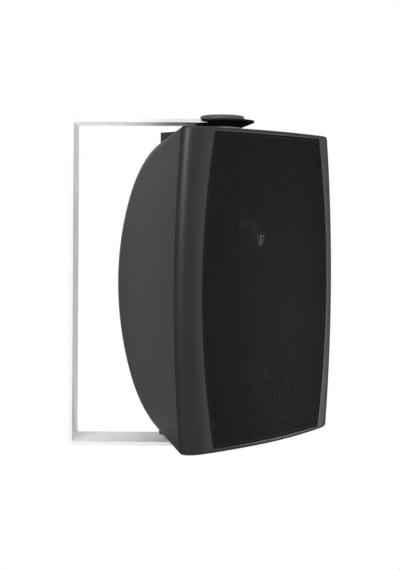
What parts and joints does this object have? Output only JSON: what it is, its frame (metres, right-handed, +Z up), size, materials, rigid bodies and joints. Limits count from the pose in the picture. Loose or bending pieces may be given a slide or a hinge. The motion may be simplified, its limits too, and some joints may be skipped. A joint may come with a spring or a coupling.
{
  "type": "wall loudspeaker",
  "caption": "Charcoal loudspeaker with a bowed back and a curved perforated grille, panning in a white folded wall bracket clamped by round hand knobs.",
  "frame": {"origin": "centre of the wall plate on its back face, midway between the two fixing slots", "axes": "+Z up along the pan axis, +Y into the wall, arms reach along -Y"},
  "size_m": [0.1844, 0.2216, 0.279],
  "materials": {
    "white_powder_coat": "satin white powder coat on folded steel",
    "black_pad": "matt black moulding",
    "dark_knob": "dark grey moulding with a satin face",
    "zinc_steel": "bright zinc on turned steel",
    "pale_nylon": "natural nylon",
    "brass_insert": "knurled brass",
    "charcoal_moulding": "fine-textured charcoal moulding",
    "black_grille": "satin black paint on perforated steel",
    "black_screw": "black oxide",
    "black_chassis": "black paint on pressed steel",
    "surround_rubber": "soft black rubber",
    "gasket_foam": "dense foam",
    "spider_cloth": "resin-dipped cloth",
    "cone_moulding": "thin filled plastic",
    "gloss_cap": "polished thin plastic",
    "coil_former": "foil former with an enamelled winding",
    "ferrite": "sintered ferrite",
    "faceplate_moulding": "matt moulding",
    "dome_cloth": "coated cloth",
    "cup_moulding": "matt moulding",
    "black_lever": "satin moulding",
    "red_lever": "satin moulding",
    "spring_brass": "tinned spring strip",
    "board_laminate": "bare resin laminate",
    "copper_winding": "enamelled copper wire",
    "resistor_body": "cement body",
    "capacitor_sleeve": "shrink sleeve"
  },
  "bodies": {
    "bracket": {"wall_bracket": "white_powder_coat", "upper_arm_pad": "black_pad", "lower_arm_pad": "black_pad"},
    "cabinet": {"rear_shell": "charcoal_moulding", "front_baffle": "charcoal_moulding", "grille": "black_grille", "baffle_screws": "black_screw", "pivot_washers": "pale_nylon", "pivot_inserts": "brass_insert", "woofer_basket": "black_chassis", "woofer_surround": "surround_rubber", "woofer_gasket": "gasket_foam", "woofer_spider": "spider_cloth", "woofer_top_plate": "zinc_steel", "woofer_magnet": "ferrite", "woofer_yoke": "zinc_steel", "woofer_screws": "black_screw", "tweeter_faceplate": "faceplate_moulding", "tweeter_surround": "dome_cloth", "tweeter_top_plate": "zinc_steel", "tweeter_magnet": "ferrite", "tweeter_yoke": "zinc_steel", "tweeter_screws": "black_screw", "terminal_cup": "cup_moulding", "terminal_cup_screws": "black_screw", "terminal_contacts": "spring_brass", "crossover_board": "board_laminate", "board_screws": "zinc_steel", "crossover_inductor": "copper_winding", "crossover_resistor": "resistor_body", "crossover_capacitors": "capacitor_sleeve"},
    "upper_clamp": {"upper_knob": "dark_knob", "upper_knob_stud": "zinc_steel"},
    "lower_clamp": {"lower_knob": "dark_knob", "lower_knob_stud": "zinc_steel"},
    "woofer_diaphragm": {"woofer_cone": "cone_moulding", "woofer_dust_cap": "gloss_cap", "woofer_voice_coil": "coil_former"},
    "tweeter_diaphragm": {"tweeter_dome": "dome_cloth", "tweeter_voice_coil": "coil_former"},
    "negative_lever": {"negative_terminal_lever": "black_lever"},
    "positive_lever": {"positive_terminal_lever": "red_lever"}
  },
  "joints": [
    {"name": "pan", "type": "hinge", "parent": "bracket", "child": "cabinet", "pos_m": [0, -0.1255, 0], "axis": [0, 0, 1], "range_deg": [-45, 135]},
    {"name": "upper_knob_turn", "type": "hinge", "parent": "bracket", "child": "upper_clamp", "pos_m": [0, -0.1255, 0.137], "axis": [0, 0, 1], "continuous": true},
    {"name": "lower_knob_turn", "type": "hinge", "parent": "bracket", "child": "lower_clamp", "pos_m": [0, -0.1255, -0.137], "axis": [0, 0, 1], "continuous": true},
    {"name": "woofer_stroke", "type": "slide", "parent": "cabinet", "child": "woofer_diaphragm", "axis": [-0.7071, -0.7071, 0], "range_m": [-0.003, 0.003], "stiffness_N_per_m": 900, "deforming": ["woofer_surround", "woofer_spider"]},
    {"name": "tweeter_stroke", "type": "slide", "parent": "cabinet", "child": "tweeter_diaphragm", "axis": [-0.7071, -0.7071, 0], "range_m": [-0.0003, 0.0003], "stiffness_N_per_m": 900, "deforming": ["tweeter_surround"]},
    {"name": "negative_lever_press", "type": "hinge", "parent": "cabinet", "child": "negative_lever", "pos_m": [0.0384, -0.07013, 0.0065], "axis": [0.7071, -0.7071, 0], "range_deg": [-15, 0], "stiffness_Nm_per_rad": 0.2},
    {"name": "positive_lever_press", "type": "hinge", "parent": "cabinet", "child": "positive_lever", "pos_m": [0.05537, -0.0871, 0.0065], "axis": [0.7071, -0.7071, 0], "range_deg": [-15, 0], "stiffness_Nm_per_rad": 0.2}
  ]
}
